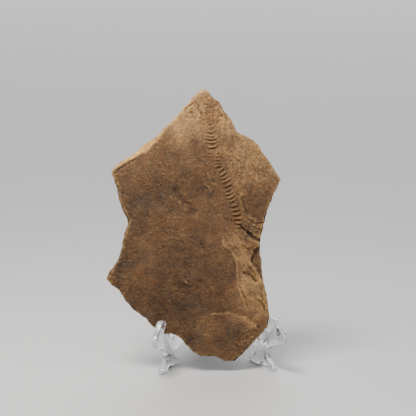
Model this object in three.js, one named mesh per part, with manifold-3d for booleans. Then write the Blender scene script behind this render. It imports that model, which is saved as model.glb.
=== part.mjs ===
// A thin slab of brown sandstone that carries a trilobite's trackway in low relief, leaning in a small
// clear plastic easel. The easel is two flat side plates that are halved into each other behind the slab.
// Millimetres and degrees, +Z up, the slab's face towards -Y, the table at Z = 0.
import * as THREE from 'three';
import { mergeVertices } from 'three/addons/utils/BufferGeometryUtils.js';
import Module from 'manifold-3d';

const wasm = await Module();
wasm.setup();

// ---- Driving dimensions ----
const SLAB_LEAN = 13;           // the slab leans back by this much
const SLAB_THICKNESS = 10;
const BACK_TAPER = 0.94;        // the back face is this much smaller than the front, so the sides slant
const SLAB_CENTRE = [-10, 85];  // the point that the sides slant towards
const LONGEST_ROW_STEP = 3.6;   // widest spacing of the rows that the faces are made of
const CLOSEST_ROWS = 1.3;       // corners nearer than this in height share a row
const COLUMNS = 20;             // divisions of each row
const EDGE_COLUMN = 2.6;        // the first column in from each side follows the edge at this distance

const PLATE_THICKNESS = 3;
const PLATE_SPLAY = 24;         // each side plate turns in by this much from straight back
const TOE_HALF_SPACING = 32.5;  // from the middle of the easel to a plate's front toe
const PLATE_ROUNDING = 0.6;     // the polished bevel round a plate's edges
const LEDGE_HEIGHT = 22.7;      // the seat that the slab stands on
const BACKREST_HEIGHT = 66;
const CLEARANCE = 0.3;          // between pieces that touch
const SEAT_MARGIN = 0.9;        // the seat runs on this far in front of the slab's face
const BACKREST_PLAY = 0.6;      // between the slab's back and the middle of a backrest
const SLAB_ASIDE = -0.95;       // from the easel's middle to the slab's

const MARK_HEIGHT = 0.8;        // how far the trackway's scratch marks stand up
const MARK_WIDTH = 1.8;
const MARK_ROOT = 0.5;          // how deep a mark is rooted in the face

// ---- Small helpers ----
const radians = THREE.MathUtils.degToRad;
const smoothstep = (low, high, value) => THREE.MathUtils.smoothstep(value, low, high);
const bell = (distance, width) => Math.exp(-((distance / width) ** 2));

function distanceToSegment([x, y], [ax, ay], [bx, by]) {
  const lengthSquared = (bx - ax) ** 2 + (by - ay) ** 2;
  const along = ((x - ax) * (bx - ax) + (y - ay) * (by - ay)) / lengthSquared;
  const clamped = THREE.MathUtils.clamp(along, 0, 1);
  return Math.hypot(x - ax - clamped * (bx - ax), y - ay - clamped * (by - ay));
}

function isInside([x, y], region) {
  let inside = false;
  region.forEach(([ax, ay], i) => {
    const [bx, by] = region[(i + 1) % region.length];
    if ((ay > y) !== (by > y) && x < ax + ((bx - ax) * (y - ay)) / (by - ay)) inside = !inside;
  });
  return inside;
}

function distanceToLine(point, line) {
  let nearest = Infinity;
  for (let i = 1; i < line.length; i += 1) {
    nearest = Math.min(nearest, distanceToSegment(point, line[i - 1], line[i]));
  }
  return nearest;
}

function solidOf(geometry) {
  const bare = geometry.index ? geometry.clone() : geometry;
  bare.deleteAttribute('normal');
  bare.deleteAttribute('uv');
  const merged = mergeVertices(bare, 1e-4);
  return new wasm.Manifold(new wasm.Mesh({
    numProp: 3,
    vertProperties: new Float32Array(merged.attributes.position.array),
    triVerts: new Uint32Array(merged.index.array),
  }));
}

function geometryOf(solid) {
  const mesh = solid.getMesh();
  const geometry = new THREE.BufferGeometry();
  geometry.setAttribute('position', new THREE.BufferAttribute(new Float32Array(mesh.vertProperties), 3));
  geometry.setIndex(new THREE.BufferAttribute(new Uint32Array(mesh.triVerts), 1));
  geometry.computeVertexNormals();
  return geometry;
}

// ---- The slab's outline ----
// Points are [across, up] on the slab's front face: across is X, and up runs along the leaning face from
// the table. Both sides rise steadily from the bottom point to the top.
const BOTTOM_TO_TOP_LEFT = [
  [5.2, 6.6], [0.4, 9.4], [-8.7, 10.2], [-11.9, 11.8], [-14.1, 13.6], [-18, 18.8],
  [-22.8, 22.6], [-29, 23.2], [-35, 27.3], [-40.3, 32.9], [-45.3, 36.6], [-49.9, 41.5],
  [-54.5, 48.8], [-58.2, 51.2], [-61.2, 55.1], [-57.1, 61.8], [-54.2, 66.3], [-52.4, 72],
  [-51.1, 79], [-49.9, 82.2], [-48.1, 86.7], [-48.2, 89], [-51.9, 95.9], [-53.6, 100.5],
  [-53.5, 102.8], [-55.1, 109.7], [-57.3, 115], [-57.4, 116.8], [-52.4, 121.2], [-48.2, 123.8],
  [-43.4, 126.6], [-37.8, 131.2], [-30, 137.2], [-20.6, 146], [-12.3, 155.1], [-8, 160.3],
  [-4.1, 163.4],
];
const BOTTOM_TO_TOP_RIGHT = [
  [10.5, 6.6], [15, 10.4], [20.4, 15.3], [29.8, 25.2], [31, 30], [31.1, 33.5],
  [30.2, 43.4], [28.3, 50.8], [27.8, 59.5], [26.8, 67], [26.9, 73.8], [28.3, 80.7],
  [30.2, 87.6], [31.4, 92.2], [33.3, 96.8], [35.1, 101.3], [37.6, 105.9], [39.7, 110.2],
  [36.6, 115.2], [33.8, 119.9], [30.5, 124.5], [27.7, 129.2], [24.7, 132.9], [19.7, 136],
  [14.8, 138], [13.7, 142.1], [10.1, 147.3], [5.6, 154.9], [-0.7, 161.6], [-2.3, 163.4],
];
const OUTLINE = [...BOTTOM_TO_TOP_LEFT, ...BOTTOM_TO_TOP_RIGHT.toReversed(), BOTTOM_TO_TOP_LEFT[0]];
const BEVELLED_EDGE = [[-57.2, 116.8], [-42.8, 125.6], [-30, 136.9], [-12.3, 155.1]];

function sideAt(side, up) {
  const next = Math.max(1, side.findIndex((point) => point[1] >= up));
  const [[x0, y0], [x1, y1]] = [side[next - 1], side[next]];
  return THREE.MathUtils.mapLinear(up, y0, y1, x0, x1);
}

// Rows pass through the corners of both sides, and long stretches between them are divided.
function rowHeights() {
  const corners = [...BOTTOM_TO_TOP_LEFT, ...BOTTOM_TO_TOP_RIGHT].map((point) => point[1]);
  corners.sort((a, b) => a - b);
  const top = corners.at(-1);
  const rows = [corners[0]];
  for (const up of corners) {
    const start = rows.at(-1);
    const kept = up === top || (up - start > CLOSEST_ROWS && top - up > CLOSEST_ROWS);
    const steps = kept ? Math.ceil((up - start) / LONGEST_ROW_STEP) : 0;
    for (let step = 1; step <= steps; step += 1) rows.push(start + ((up - start) * step) / steps);
  }
  return rows;
}

function acrossAt(row, column) {
  const left = sideAt(BOTTOM_TO_TOP_LEFT, row);
  const right = sideAt(BOTTOM_TO_TOP_RIGHT, row);
  const edge = Math.min(EDGE_COLUMN, (right - left) / COLUMNS);
  if (column === 0) return left;
  if (column === COLUMNS) return right;
  return THREE.MathUtils.mapLinear(column, 1, COLUMNS - 1, left + edge, right - edge);
}

// ---- The slab's relief ----
// Lines and regions of [across, up] points on the front face.
const DIAGONAL_VALLEY = [[-26, 104], [-18.6, 102.2], [-12.9, 97.5], [-9, 92]];
const FOLD_ARC = [[0.2, 94.4], [2, 96.4], [4.9, 97.5], [8.4, 96.6]];
const TRACK_SIDE_RIDGE = [[17.6, 104.6], [16, 98.5], [17, 93.6], [19, 90]];
const CENTRE_RIDGE = [
  [5.3, 76.8], [6.9, 70.8], [9.8, 70.1], [12.6, 64.6], [13.9, 57.7], [13.4, 50.3], [16.1, 43.4], [18.6, 38],
];
const ARCHED_LEDGE = [[-8, 33.4], [0.9, 34], [10.1, 33.8], [16.4, 31.3], [21.6, 28.3], [25, 23.7]];
const RAISED_FOLDS = [...CENTRE_RIDGE, [27, 42], [25, 50], [21, 58], [19.6, 66], [18, 74], [11, 80]];
const RAISED_FOOT = [...ARCHED_LEDGE, [24, 0], [-12, 0], [-14, 20]];
const SCOOPED_PATCH = [[22, 98], [26, 90]];
const RIGHT_FACET = [[29, 70], [24.6, 63.5], [29, 56]];
const ROUND_LOBE = [20.6, 47.6];
const LOBE_FOLD = [[17, 56.5], [21.6, 54.4], [25, 50.6]];
const NODULE = [-16.2, 52.4];
const LEFT_SWELL = [-30, 75];
const LAYER_EDGE = [[-48, 62], [-50, 56], [-47, 50], [-50, 44]];
const SIDE_LEDGE = [[-56.9, 113.6], [-48, 114.6]];

// The folds of the face: each line, the height of its crest (negative for a groove) and its width.
const FACE_FOLDS = [
  [DIAGONAL_VALLEY, -0.7, 4], [FOLD_ARC, 0.5, 1.8], [TRACK_SIDE_RIDGE, 0.7, 1.8], [CENTRE_RIDGE, 0.7, 2.2],
  [ARCHED_LEDGE, 0.4, 2], [SCOOPED_PATCH, -1, 6], [RIGHT_FACET, -2.4, 2.6], [LOBE_FOLD, -0.9, 1.8],
  [LAYER_EDGE, -0.8, 2.4], [SIDE_LEDGE, -0.6, 1.8],
];
const WORN_EDGE = 2.4;          // how wide the slope at the edge of a raised bed is
const LEAN_BACK_FROM = 108;     // above this height the face curves backwards
const LEAN_BACK = 0.0015;

// A bed that stands proud of the face inside a region, with its edge worn to a slope.
function raisedBed(point, region, rise) {
  const inward = distanceToLine(point, [...region, region[0]]) * (isInside(point, region) ? 1 : -1);
  return rise * smoothstep(-WORN_EDGE / 2, WORN_EDGE / 2, inward);
}

// A round swelling of the face about a point.
function swelling([across, up], [middleAcross, middleUp], rise, width, stretch = 1) {
  return rise * bell(Math.hypot(across - middleAcross, (up - middleUp) / stretch), width);
}

function frontRelief(point) {
  const [across, up] = point;
  let height = swelling(point, LEFT_SWELL, 0.9, 30, 1.4);
  height += swelling(point, ROUND_LOBE, 1.3, 6);
  height += swelling(point, NODULE, 0.8, 2);
  height += raisedBed(point, RAISED_FOLDS, 0.5);
  height += raisedBed(point, RAISED_FOOT, 0.5);
  for (const [line, crest, width] of FACE_FOLDS) height += crest * bell(distanceToLine(point, line), width);
  height += 0.25 * Math.sin(across * 0.31 + 0.8) * Math.sin(up * 0.23);
  height += 0.15 * Math.sin(across * 0.9 + up * 0.7);
  return height - LEAN_BACK * Math.max(0, up - LEAN_BACK_FROM) ** 2;
}

// The face falls away at its rim, further along the broad bevel at the upper left.
function frontHeight(point) {
  const bevelled = bell(distanceToLine(point, BEVELLED_EDGE), 5);
  const drop = 1.0 + 2.4 * bevelled;
  const width = 2.2 + 1.2 * bevelled;
  const rim = 1 - smoothstep(0, width, distanceToLine(point, OUTLINE));
  return frontRelief(point) * (1 - rim) - drop * rim;
}

// The back is a rough break across two beds of the stone.
function backHeight(point) {
  const [across, up] = point;
  const bedEdge = 78 + 9 * Math.sin(across * 0.09) + 3 * Math.sin(across * 0.37);
  const upperBed = 0.9 * smoothstep(-2, 2, up - bedEdge);
  const rim = 1 - smoothstep(0, 3, distanceToLine(point, OUTLINE));
  const lumps = 0.3 * Math.sin(across * 0.42 + 1) * Math.sin(up * 0.36);
  const ripples = 0.15 * Math.sin(across * 1.1 - up * 0.8);
  return -SLAB_THICKNESS + upperBed + 0.45 + lumps + ripples + 1.2 * rim;
}

function taperedPoint([across, up], share) {
  const scale = 1 - (1 - BACK_TAPER) * share;
  return [SLAB_CENTRE[0] + (across - SLAB_CENTRE[0]) * scale, SLAB_CENTRE[1] + (up - SLAB_CENTRE[1]) * scale];
}

// One closed skin: a front grid, a back grid, and a wall of broken beds between their rims.
function slabBody() {
  const rows = rowHeights();
  const positions = [];
  const faces = [];
  const width = COLUMNS + 1;
  const quad = (a, b, c, d) => faces.push(a, b, c, a, c, d);

  for (const up of rows) {
    for (let column = 0; column < width; column += 1) {
      const point = [acrossAt(up, column), up];
      positions.push(...point, frontHeight(point));
    }
  }
  const backStart = positions.length / 3;
  for (const up of rows) {
    for (let column = 0; column < width; column += 1) {
      const point = [acrossAt(up, column), up];
      positions.push(...taperedPoint(point, 1), backHeight(point));
    }
  }
  for (let row = 0; row < rows.length - 1; row += 1) {
    for (let column = 0; column < COLUMNS; column += 1) {
      const here = row * width + column;
      quad(here, here + 1, here + width + 1, here + width);
      const behind = backStart + here;
      quad(behind, behind + width, behind + width + 1, behind + 1);
    }
  }

  const rim = [];
  const last = rows.length - 1;
  for (let column = 0; column < COLUMNS; column += 1) rim.push(column);
  for (let row = 0; row < last; row += 1) rim.push(row * width + COLUMNS);
  for (let column = COLUMNS; column > 0; column -= 1) rim.push(last * width + column);
  for (let row = last; row > 0; row -= 1) rim.push(row * width);

  const middleStart = positions.length / 3;
  rim.forEach((index, i) => {
    const [across, up, front] = positions.slice(index * 3, index * 3 + 3);
    const back = positions[(backStart + index) * 3 + 2];
    const bedStep = 0.35 + 0.25 * Math.sin(i * 1.7) + 0.15 * Math.sin(i * 0.6);
    positions.push(...taperedPoint([across, up], bedStep), (front + back) / 2);
  });
  rim.forEach((index, i) => {
    const following = (i + 1) % rim.length;
    quad(rim[following], index, middleStart + i, middleStart + following);
    quad(middleStart + following, middleStart + i, backStart + index, backStart + rim[following]);
  });

  const geometry = new THREE.BufferGeometry();
  geometry.setAttribute('position', new THREE.Float32BufferAttribute(positions, 3));
  geometry.setIndex(faces);
  return solidOf(geometry);
}

// ---- The trackway ----
// Each scratch mark is [across, up, turn, length]: its middle, its slope in degrees and how long it is.
const BOWED_MARKS = [
  [-0.1, 143.6, 0, 4], [0.2, 141.2, 4, 5], [0.4, 138.5, 4, 6], [-0.3, 136.2, 0, 6.2], [0.1, 134.3, -3, 6.6],
  [0.4, 132.2, 0, 6.8], [0.6, 129.6, 3, 7.2],
];
const FAINT_MARKS = [
  [-0.4, 126.2, -12, 3.2], [3.7, 126.4, 24, 3], [-0.4, 124.4, -8, 2.8], [3.8, 124.3, 12, 3],
  [3.3, 122, 5, 4.2], [3.4, 120.2, 8, 4.2], [3.9, 118.3, 14, 4.6],
];
const SLANTED_MARKS = [
  [5.6, 116.3, 36, 6.2], [6.6, 113.8, 32, 6.2], [7.2, 111.6, 24, 5.6], [8.4, 109.6, 20, 6.8],
  [9, 107.2, 26, 6.6], [9.5, 104.6, 24, 6.2], [9.8, 102.4, 20, 6], [10.4, 100.2, 20, 6],
  [11.1, 98.1, 18, 5.8], [12.6, 95.4, 12, 6], [13.4, 92.9, 9, 6], [14, 90.4, 7, 5.8],
  [14.6, 87.9, 4, 5.6], [15, 85.3, 2, 5.2],
];
const BOW = 0.9;                // the upper marks sag by this much in the middle

// A closed chain of three-cornered sections along a line on the face. sectionAt gives a section's corners
// from the point, the direction to the line's left and the share of the line that is behind it.
function chainSolid(line, sectionAt) {
  const positions = [];
  const faces = [];
  line.forEach((point, i) => {
    const before = line[Math.max(0, i - 1)];
    const after = line[Math.min(line.length - 1, i + 1)];
    const [run, rise] = [after[0] - before[0], after[1] - before[1]];
    const length = Math.hypot(run, rise);
    positions.push(...sectionAt(point, [-rise / length, run / length], i / (line.length - 1)).flat());
  });
  for (let start = 0; start < positions.length / 3 - 3; start += 3) {
    for (let corner = 0; corner < 3; corner += 1) {
      const [a, b] = [start + corner, start + ((corner + 1) % 3)];
      faces.push(a, a + 3, b + 3, a, b + 3, b);
    }
  }
  const end = positions.length / 3 - 3;
  faces.push(0, 1, 2, end, end + 2, end + 1);
  const geometry = new THREE.BufferGeometry();
  geometry.setAttribute('position', new THREE.Float32BufferAttribute(positions, 3));
  geometry.setIndex(faces);
  return solidOf(geometry);
}

function markRidge([across, up, turn, length], bow, height) {
  const slope = radians(turn);
  const line = [-0.5, -0.25, 0, 0.25, 0.5].map((share) => {
    const along = share * length;
    const sag = bow * (4 * share * share - 0.5);
    return [across + along * Math.cos(slope) - sag * Math.sin(slope),
      up + along * Math.sin(slope) + sag * Math.cos(slope)];
  });
  return chainSolid(line, (point, left, share) => {
    const fullness = Math.sqrt(Math.max(0, 1 - (2 * share - 1) ** 2));
    const half = (MARK_WIDTH / 2) * (0.35 + 0.65 * fullness);
    const surface = frontHeight(point);
    const top = surface + height * fullness - 0.1;
    return [
      [point[0] - left[0] * half, point[1] - left[1] * half, surface - MARK_ROOT],
      [...point, top],
      [point[0] + left[0] * half, point[1] + left[1] * half, surface - MARK_ROOT],
    ];
  });
}

function trackwayRidges() {
  return [
    ...BOWED_MARKS.map((mark) => markRidge(mark, BOW, MARK_HEIGHT)),
    ...FAINT_MARKS.map((mark) => markRidge(mark, 0, MARK_HEIGHT * 0.6)),
    ...SLANTED_MARKS.map((mark) => markRidge(mark, BOW * 0.3, MARK_HEIGHT)),
  ];
}

// ---- Cracks ----
// Each crack follows [across, up] points and runs out through the slab's right side.
const DEEP_CRACK = [[15.3, 84.4], [18.7, 80.9], [22.7, 77.7], [25, 75.9], [30, 74]];
const LAYER_CRACK = [[17.8, 89.5], [20.6, 88.6], [24.6, 85.4], [27, 85.2], [32, 85.8]];
const LOW_CRACK = [[24.9, 71.4], [21.6, 64.6], [24.6, 60.4], [27.5, 54], [30.5, 49]];
const CRACK_OPENING = 2;        // how far above the face a crack's cutter reaches

function crackCutter(line, width, depth) {
  return chainSolid(line, (point, left, share) => {
    const surface = frontHeight(point);
    const top = surface + CRACK_OPENING;
    const deep = surface - depth * (0.2 + 0.8 * Math.min(1, 3 * share));
    const half = (width / 2) * (1 + CRACK_OPENING / depth);
    return [
      [point[0] + left[0] * half, point[1] + left[1] * half, top],
      [...point, deep],
      [point[0] - left[0] * half, point[1] - left[1] * half, top],
    ];
  });
}

function slabGeometry() {
  let slab = slabBody();
  for (const ridge of trackwayRidges()) slab = slab.add(ridge);
  slab = slab.subtract(crackCutter(DEEP_CRACK, 1.8, 2.2));
  slab = slab.subtract(crackCutter(LAYER_CRACK, 1.1, 1.1));
  slab = slab.subtract(crackCutter(LOW_CRACK, 1.3, 1.6));
  return geometryOf(slab);
}

// ---- The easel's side plates ----
// A plate's profile is drawn as [back, up]: back runs along the plate from its front toe.
const splay = radians(PLATE_SPLAY);
const lean = radians(SLAB_LEAN);
const CROSSING = TOE_HALF_SPACING / Math.sin(splay);  // how far back the two plates cross
const HEEL_REACH = 9;                                 // how far a plate runs on behind the crossing

// The slab's front face meets the plate's line at this distance back, at a given height.
const faceLine = (up, behind = 0) => (up * Math.tan(lean) + behind / Math.cos(lean)) / Math.cos(splay);

function plateShape() {
  const seatFront = faceLine(LEDGE_HEIGHT, -SEAT_MARGIN);
  const seatBack = faceLine(LEDGE_HEIGHT, SLAB_THICKNESS + BACKREST_PLAY);
  const backTop = faceLine(BACKREST_HEIGHT, SLAB_THICKNESS + BACKREST_PLAY);
  const heel = CROSSING + HEEL_REACH;
  const shape = new THREE.Shape();
  shape.moveTo(1, 0);
  shape.lineTo(3.4, 0);
  shape.quadraticCurveTo(8, 2.7, 12.4, 2.5);              // hollow between the two front toes
  shape.quadraticCurveTo(14.8, 0.2, 17.2, 0);
  shape.lineTo(24.4, 0);
  shape.quadraticCurveTo(27.6, 0.6, 25.6, 2.4);           // rear toe
  shape.bezierCurveTo(22, 3.8, 19.8, 4.8, 19.4, 7.4);     // back of the ankle
  shape.quadraticCurveTo(19.2, 10, 26, 10.3);
  shape.lineTo(CROSSING - 17, 11);                        // long low arch
  shape.quadraticCurveTo(CROSSING - 7, 10, CROSSING - 5, 1.4);
  shape.lineTo(CROSSING - 3.6, 0);
  shape.lineTo(heel - 1.4, 0);
  shape.quadraticCurveTo(heel, 0.4, heel, 2);             // heel
  shape.lineTo(heel, 22);
  shape.quadraticCurveTo(heel, 28, heel - 6, 31);
  shape.bezierCurveTo(CROSSING - 14, 36, backTop + 10, 44, backTop + 5, BACKREST_HEIGHT - 2);
  shape.quadraticCurveTo(backTop + 3.6, BACKREST_HEIGHT + 1, backTop, BACKREST_HEIGHT);
  shape.lineTo(seatBack, LEDGE_HEIGHT);                   // the backrest, along the slab's lean
  shape.lineTo(seatFront, LEDGE_HEIGHT);                  // the seat
  shape.bezierCurveTo(2.4, LEDGE_HEIGHT, 0.8, 23.6, 2, 25.4);  // the hollow where the seat turns up
  shape.lineTo(4.2, 27.4);
  shape.bezierCurveTo(5.7, 29.2, 3.5, 31.5, -0.6, 31.1);  // the hook's round tip
  shape.bezierCurveTo(-4, 30.7, -3.8, 27.9, -7.4, 26.4);
  shape.bezierCurveTo(-13.6, 23.6, -13, 18.8, -6.6, 17);  // the nose
  shape.bezierCurveTo(2, 14.6, 6.6, 12.4, 6.7, 8.6);      // the waist
  shape.bezierCurveTo(6.7, 5.2, 1.4, 4.6, -0.6, 2.4);
  shape.quadraticCurveTo(-1.2, 0.3, 1, 0);                // front toe
  return shape;
}

function blankPlate(thickness, rounding, side) {
  const geometry = new THREE.ExtrudeGeometry(plateShape(), {
    depth: thickness - 2 * rounding,
    bevelEnabled: rounding > 0,
    bevelThickness: rounding,
    bevelSize: rounding,
    bevelOffset: -rounding,
    bevelSegments: 1,
    curveSegments: 5,
  });
  geometry.translate(0, 0, rounding - thickness / 2);
  geometry.rotateX(Math.PI / 2);
  geometry.rotateZ(Math.PI / 2 - side * splay);
  geometry.translate(-side * TOE_HALF_SPACING, 0, 0);
  return solidOf(geometry);
}

const HALVING_HEIGHT = 15;
const ABOVE_PLATE = 60;
const SLOT_RUN = 40;            // long enough to pass right through the other plate

// Where the plates cross, each has a slot half its height that the other one drops into.
function halvingSlot(side, low, high) {
  const slot = new THREE.BoxGeometry(SLOT_RUN, PLATE_THICKNESS + 2 * CLEARANCE, high - low);
  slot.translate(0, 0, (low + high) / 2);
  slot.rotateZ(Math.PI / 2 - side * splay);
  slot.translate(0, TOE_HALF_SPACING / Math.tan(splay), 0);
  return solidOf(slot);
}

const left = blankPlate(PLATE_THICKNESS, PLATE_ROUNDING, 1)
  .subtract(halvingSlot(-1, HALVING_HEIGHT, ABOVE_PLATE));
const right = blankPlate(PLATE_THICKNESS, PLATE_ROUNDING, -1)
  .subtract(halvingSlot(1, -1, HALVING_HEIGHT + CLEARANCE));

// ---- Materials ----
const sandstone = new THREE.MeshStandardMaterial({ color: 0x8f6a45, roughness: 0.9, metalness: 0 });
const clearPlastic = new THREE.MeshStandardMaterial({
  color: 0xf2f5f7, roughness: 0.06, metalness: 0, transparent: true, opacity: 0.35,
});

// ---- Assembly ----
const object = new THREE.Group();

const slab = new THREE.Mesh(slabGeometry(), sandstone);
slab.name = 'sandstone_slab';
slab.rotation.x = Math.PI / 2 - lean;
slab.position.x = SLAB_ASIDE;
object.add(slab);

const leftPlate = new THREE.Mesh(geometryOf(left), clearPlastic.clone());
leftPlate.name = 'stand_plate_left';
object.add(leftPlate);

const rightPlate = new THREE.Mesh(geometryOf(right), clearPlastic.clone());
rightPlate.name = 'stand_plate_right';
object.add(rightPlate);

// The origin is under the middle of the whole object, on the table.
const bounds = new THREE.Box3().setFromObject(object);
const middle = bounds.getCenter(new THREE.Vector3());
object.position.set(-middle.x, -middle.y, -bounds.min.z);

export default object;
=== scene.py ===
"""A brown sandstone slab with a trilobite's trackway, leaning in a small clear plastic easel."""

import math

import bpy
import numpy as np
from mathutils import Matrix, Vector


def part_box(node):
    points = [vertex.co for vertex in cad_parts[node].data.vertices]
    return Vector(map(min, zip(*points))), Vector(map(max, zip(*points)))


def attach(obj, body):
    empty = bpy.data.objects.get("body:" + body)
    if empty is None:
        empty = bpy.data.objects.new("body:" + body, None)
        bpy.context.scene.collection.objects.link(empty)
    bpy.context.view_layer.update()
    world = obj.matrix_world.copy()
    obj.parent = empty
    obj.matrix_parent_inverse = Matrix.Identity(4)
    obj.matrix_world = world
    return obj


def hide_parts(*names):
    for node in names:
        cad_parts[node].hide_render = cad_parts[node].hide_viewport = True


bl_info = {
    "name": "Trackway slab on a clear easel",
    "version": (1, 0, 0),
    "blender": (4, 5, 0),
    "location": "View3D > Sidebar > Trackway",
    "description": "Builds a sandstone slab with a trilobite trackway, its clear easel and a plain stage",
    "category": "Object",
}

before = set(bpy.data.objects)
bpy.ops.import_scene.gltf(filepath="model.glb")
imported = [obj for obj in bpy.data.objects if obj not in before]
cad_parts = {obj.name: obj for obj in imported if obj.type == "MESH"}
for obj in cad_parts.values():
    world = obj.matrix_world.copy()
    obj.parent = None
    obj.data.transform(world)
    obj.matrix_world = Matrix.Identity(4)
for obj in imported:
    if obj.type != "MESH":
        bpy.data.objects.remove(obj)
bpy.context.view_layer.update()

MM = 0.001

# ---- Sizes that the slab and the easel share with their solids, in millimetres and degrees ----
SLAB_LEAN = 13.0
SLAB_THICKNESS = 10.0
BACK_TAPER = 0.94
SLAB_CENTRE = (-10.0, 85.0)
PLATE_THICKNESS = 3.0
PLATE_SPLAY = 24.0
PLATE_ROUNDING = 0.6
TOE_HALF_SPACING = 32.5
LEDGE_HEIGHT = 22.7
BACKREST_HEIGHT = 66.0
SEAT_MARGIN = 0.9
BACKREST_PLAY = 0.6
SLAB_ASIDE = -0.95
CLEARANCE = 0.3
HALVING_HEIGHT = 15.0
HEEL_REACH = 9.0
# Above this height the front face bows back, by this much for each square millimetre.
LEAN_BACK_FROM = 108.0
LEAN_BACK = 0.0015

SPLAY = math.radians(PLATE_SPLAY)
LEAN = math.radians(SLAB_LEAN)
CROSSING = TOE_HALF_SPACING / math.sin(SPLAY)


def easel_middle():
    """Where the point midway between the front toes lies in the frame, in metres."""
    left_low, left_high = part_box("stand_plate_left")
    _, right_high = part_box("stand_plate_right")
    heel = (CROSSING + HEEL_REACH) * math.cos(SPLAY)
    heel += (PLATE_THICKNESS / 2 - PLATE_ROUNDING) * math.sin(SPLAY)
    return Vector(((left_low.x + right_high.x) / 2, left_high.y - heel * MM, 0.0))


EASEL_MIDDLE = easel_middle()
SLAB_MIDDLE = EASEL_MIDDLE + Vector((SLAB_ASIDE * MM, 0, 0))

# ---- Outline of the slab: (across, up) in millimetres on its leaning front face ----
LEFT_SIDE = [
    (5.2, 6.6), (0.4, 9.4), (-8.7, 10.2), (-11.9, 11.8), (-14.1, 13.6), (-18, 18.8), (-22.8, 22.6),
    (-29, 23.2), (-35, 27.3), (-40.3, 32.9), (-45.3, 36.6), (-49.9, 41.5), (-54.5, 48.8), (-58.2, 51.2),
    (-61.2, 55.1), (-57.1, 61.8), (-54.2, 66.3), (-52.4, 72), (-51.1, 79), (-49.9, 82.2), (-48.1, 86.7),
    (-48.2, 89), (-51.9, 95.9), (-53.6, 100.5), (-53.5, 102.8), (-55.1, 109.7), (-57.3, 115), (-57.4, 116.8),
    (-52.4, 121.2), (-48.2, 123.8), (-43.4, 126.6), (-37.8, 131.2), (-30, 137.2), (-20.6, 146),
    (-12.3, 155.1), (-8, 160.3), (-4.1, 163.4),
]
RIGHT_SIDE = [
    (10.5, 6.6), (15, 10.4), (20.4, 15.3), (29.8, 25.2), (31, 30), (31.1, 33.5), (30.2, 43.4), (28.3, 50.8),
    (27.8, 59.5), (26.8, 67), (26.9, 73.8), (28.3, 80.7), (30.2, 87.6), (31.4, 92.2), (33.3, 96.8),
    (35.1, 101.3), (37.6, 105.9), (39.7, 110.2), (36.6, 115.2), (33.8, 119.9), (30.5, 124.5), (27.7, 129.2),
    (24.7, 132.9), (19.7, 136), (14.8, 138), (13.7, 142.1), (10.1, 147.3), (5.6, 154.9), (-0.7, 161.6),
    (-2.3, 163.4),
]
OUTLINE = RIGHT_SIDE + LEFT_SIDE[::-1]

# The pale bevel along the upper left rim: (across, up, width).
RIM_BEVEL = [
    (-57.4, 116.8, 0.7), (-52.4, 121.2, 1.0), (-48.2, 123.8, 1.4), (-43.4, 126.6, 1.9), (-37.8, 131.2, 2.9),
    (-33, 135, 2.0), (-30, 137.2, 1.0), (-25, 141.8, 0.5), (-20.6, 146, 0.4), (-12.3, 155.1, 0.4),
    (-8, 160.3, 0.9), (-4.1, 163.4, 1.3),
]

# ---- Relief of the front face, in the same (across, up) millimetres ----
# The shallow valley across the upper left, with the faint lines around it.
DIAGONAL_VALLEY = [(-24, 106.5), (-21.5, 104.4), (-18.6, 101.6), (-14.6, 97.4), (-11.6, 93.2), (-9.6, 89)]
VALLEY_CREST = [(-31, 103.6), (-27, 102.4), (-22.6, 99.6), (-18, 96), (-14.4, 91.6)]
LEFT_SWIRL = [(-5.4, 108.6), (-3.2, 107.6), (-1.4, 105.4), (-1.2, 102.4)]
FLAT_LINES = [
    [(-28.2, 76.2), (-22.4, 76.8), (-16.4, 75)], [(-7.4, 79.2), (-2.6, 79.4)],
    [(-20.6, 82.6), (-17.4, 80.2), (-14.4, 79)], [(-26, 46.4), (-19.4, 46.9), (-12.6, 46)],
]
# Beside the lower trackway, and the long ridge that runs down from its end.
FOLD_ARC = [(0.2, 94.4), (2, 96.4), (4.9, 97.5), (8.4, 96.6)]
TRACK_SIDE_RIDGE = [(17.6, 104.6), (16.0, 100.5), (16.0, 97), (17.0, 93.6), (19.0, 90)]
CENTRE_RIDGE = [
    (5.0, 79), (5.3, 76.8), (5.8, 74), (6.9, 70.8), (9.8, 70.1), (11.5, 67.5), (12.6, 64.6), (13.4, 61.2),
    (13.9, 57.7), (13.8, 54.3), (13.4, 50.3), (14.5, 46.8), (16.1, 43.4), (17.4, 40.4), (18.4, 37),
]
RIDGE_GROOVE = [(14.2, 52.2), (14.3, 50.3), (15.3, 46.8), (17, 43.3), (18.3, 40.5)]
RIDGE_STREAKS = [[(10.5, 58.7), (12.4, 56.6), (14, 53.7)], [(11.6, 55.2), (12.8, 53.4)]]
FOLD_BODY = CENTRE_RIDGE + [(27, 42), (26, 54), (22.5, 60), (20.5, 66), (20, 74), (12, 82)]
# The bed that stands up at the foot, and its arched edge.
ARCHED_LEDGE = [
    (-6, 33.4), (-2.5, 33.8), (0.9, 34), (5, 34), (10.1, 33.8), (13.6, 32.5), (16.4, 31.3), (19.3, 30.1),
    (21.6, 28.3), (23.8, 25.7), (26.4, 22.6),
]
RAISED_FOOT = ARCHED_LEDGE + [(22, 5), (0, 0), (-14, 12), (-12, 27)]
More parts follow.
